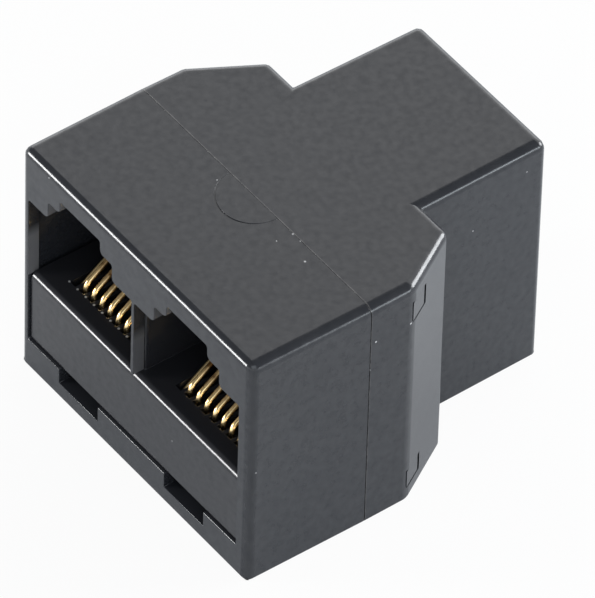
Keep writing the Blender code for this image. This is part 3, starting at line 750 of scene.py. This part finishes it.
def on_surface(pixel):
    """The point of the surface that the camera sees at a pixel of the frame."""
    depth = -LENS / SENSOR * max(FRAME)
    along = Vector((pixel[0] - FRAME[0] / 2, FRAME[1] / 2 - pixel[1], depth))
    ray = (right * along.x + up * along.y + back * along.z).normalized()
    graph = bpy.context.evaluated_depsgraph_get()
    return bpy.context.scene.ray_cast(graph, EYE, ray)[1]


def add_dust_and_glints(finish, pixels, radius):
    """Round pale patches with a soft rim, one for each pixel."""
    tree, shader, place = open_finish(finish)
    mask = None
    for pixel in pixels:
        inputs = {0: place, 1: on_surface(pixel)}
        gap = add_node(tree, "ShaderNodeVectorMath", inputs, operation='DISTANCE')
        spot = ramp(tree, gap.outputs["Value"], radius * SPECK_CORE, radius, 1.0, 0.0)
        mask = arithmetic(tree, 'MAXIMUM', mask, spot) if mask else spot
    paint_over(tree, shader, mask, DUST_AND_GLINT_GREY)
    print(finish.name, "takes", len(pixels), "specks")


add_dust_and_glints(case_finish, BRIGHT_SPECKS, 0.1 * MM)
add_dust_and_glints(case_finish, FAINT_SPECKS, 0.065 * MM)
# The slots' glints are painted highlight; the other patches are dust.
add_dust_and_glints(insert_finish, SLOT_PAINTED_GLINTS, 0.12 * MM)
add_dust_and_glints(insert_finish, PANEL_SPECKS, 0.05 * MM)

# %% [markdown]
# ## The floor
# The adapter stands on a plain white sheet. It glows a little for the camera, so that it
# stays white in the picture. For mirror rays it glows too, brighter behind it than in front
# and a little bluish, which paints a reflection into the gloss of the case. It lights nothing
# more than a plain sheet does and it keeps the adapter's shadow.

# %% The floor
FLOOR_HALF, FLOOR_DROP = 2.0, 0.02 * MM
SHEET, SHEET_ROUGHNESS = (0.8, 0.8, 0.8, 1), 0.9
PAINTED_REFLECTION_TINT, PICTURE_TINT = (0.9, 0.945, 1.0), (1.0, 1.0, 1.0)
IN_MIRROR, MIRROR_RISES = (0.24, 0.85), (8 * MM, 26 * MM)
IN_PICTURE = 0.94

bm = bmesh.new()
bmesh.ops.create_grid(bm, x_segments=1, y_segments=1, size=FLOOR_HALF)
floor = add_object("floor", mesh_from("floor", bm))
floor.location.z = -FLOOR_DROP
floor_finish, tree, shader, place = new_finish("floor")
feed(tree, shader, {"Base Color": SHEET, "Roughness": SHEET_ROUGHNESS})
rays = add_node(tree, "ShaderNodeLightPath", {}).outputs
mirrored = arithmetic(tree, 'MAXIMUM', rays["Is Glossy Ray"], rays["Is Transmission Ray"])
# Painted reflection: mirror rays see the sheet glow brighter behind the adapter.
painted_reflection_glow = ramp(tree, split(tree, place)[1], *MIRROR_RISES, *IN_MIRROR)
mirrored = arithmetic(tree, 'MULTIPLY', mirrored, painted_reflection_glow)
pictured = arithmetic(tree, 'MULTIPLY', rays["Is Camera Ray"], IN_PICTURE)
part = arithmetic(tree, 'MAXIMUM', mirrored, pictured)
tint = blend_colour(tree, rays["Is Camera Ray"], PAINTED_REFLECTION_TINT, PICTURE_TINT)
white = add_node(tree, "ShaderNodeEmission", {"Color": tint, "Strength": 1.0}).outputs[0]
mix = add_node(tree, "ShaderNodeMixShader", {0: part, 1: shader.outputs[0], 2: white})
feed(tree, tree.nodes["Material Output"], {"Surface": mix.outputs[0]})
floor.data.materials.append(floor_finish)
print("floor at", round(floor.location.z / MM, 3), "mm")

# %% [markdown]
# ## Lights
# Where the bright and dark lines lie on the rounded edges tells where the lamps were. A low
# lamp at the front left draws the lines on the front rim, on the sills and on the bends of
# the wires. A large white card behind gives the top its even grey. Two low lamps at the right
# draw the lines on the right edges, and a wide one at the front right fills the shadows.
# The room is bright near the horizon and dim above, which makes the dark bands on the edges.

# %% Lights
HORIZON, CEILING = 1.5, 0.22
DIMS_BETWEEN = (0.1, 0.45)
ROOM_TINT = (0.95, 0.975, 1.0, 1)
LAMPS_AIM = Vector((0, 0, 0.01))
# Name, azimuth and elevation in degrees, distance, width and height in metres, radiance, colour.
LAMPS = (
    ("key", -38, 9.5, 1.0, 0.28, 0.31, 26.0, (1, 1, 1)),
    ("white card behind", 210, 27, 1.0, 1.7, 1.0, 1.3, (1, 1, 1)),
    ("front right", 68, 42, 1.0, 0.9, 0.7, 1.8, (0.85, 0.92, 1.0)),
    ("low back right", 160, 15, 0.9, 0.42, 0.40, 13.0, (0.95, 0.97, 1.0)),
    ("low right", 121, 12, 0.35, 0.09, 0.06, 8.0, (0.85, 0.93, 1.0)),
)

world = bpy.data.worlds.new("studio")
bpy.context.scene.world = world
world.use_nodes = True
tree = world.node_tree
way = add_node(tree, "ShaderNodeTexCoord", {}).outputs["Generated"]
level = ramp(tree, split(tree, way)[2], *DIMS_BETWEEN, HORIZON, CEILING)
feed(tree, tree.nodes["Background"], {"Color": ROOM_TINT, "Strength": level})


def softbox(name, azimuth, elevation, distance, width, height, radiance, colour):
    """An area lamp that faces the object, seen from it at this azimuth and elevation."""
    a, e = math.radians(azimuth), math.radians(elevation)
    toward = Vector((math.sin(a) * math.cos(e), -math.cos(a) * math.cos(e), math.sin(e)))
    lamp = bpy.data.lights.new(name, 'AREA')
    lamp.shape = 'RECTANGLE'
    lamp.size = width
    lamp.size_y = height
    lamp.color = colour
    lamp.energy = radiance * width * height * math.pi
    made = add_object(name, lamp)
    made.location = LAMPS_AIM + toward * distance
    made.rotation_euler = toward.to_track_quat('Z', 'Y').to_euler()
    print(name, "gives", round(lamp.energy, 3), "W")


for lamp in LAMPS:
    softbox(*lamp)
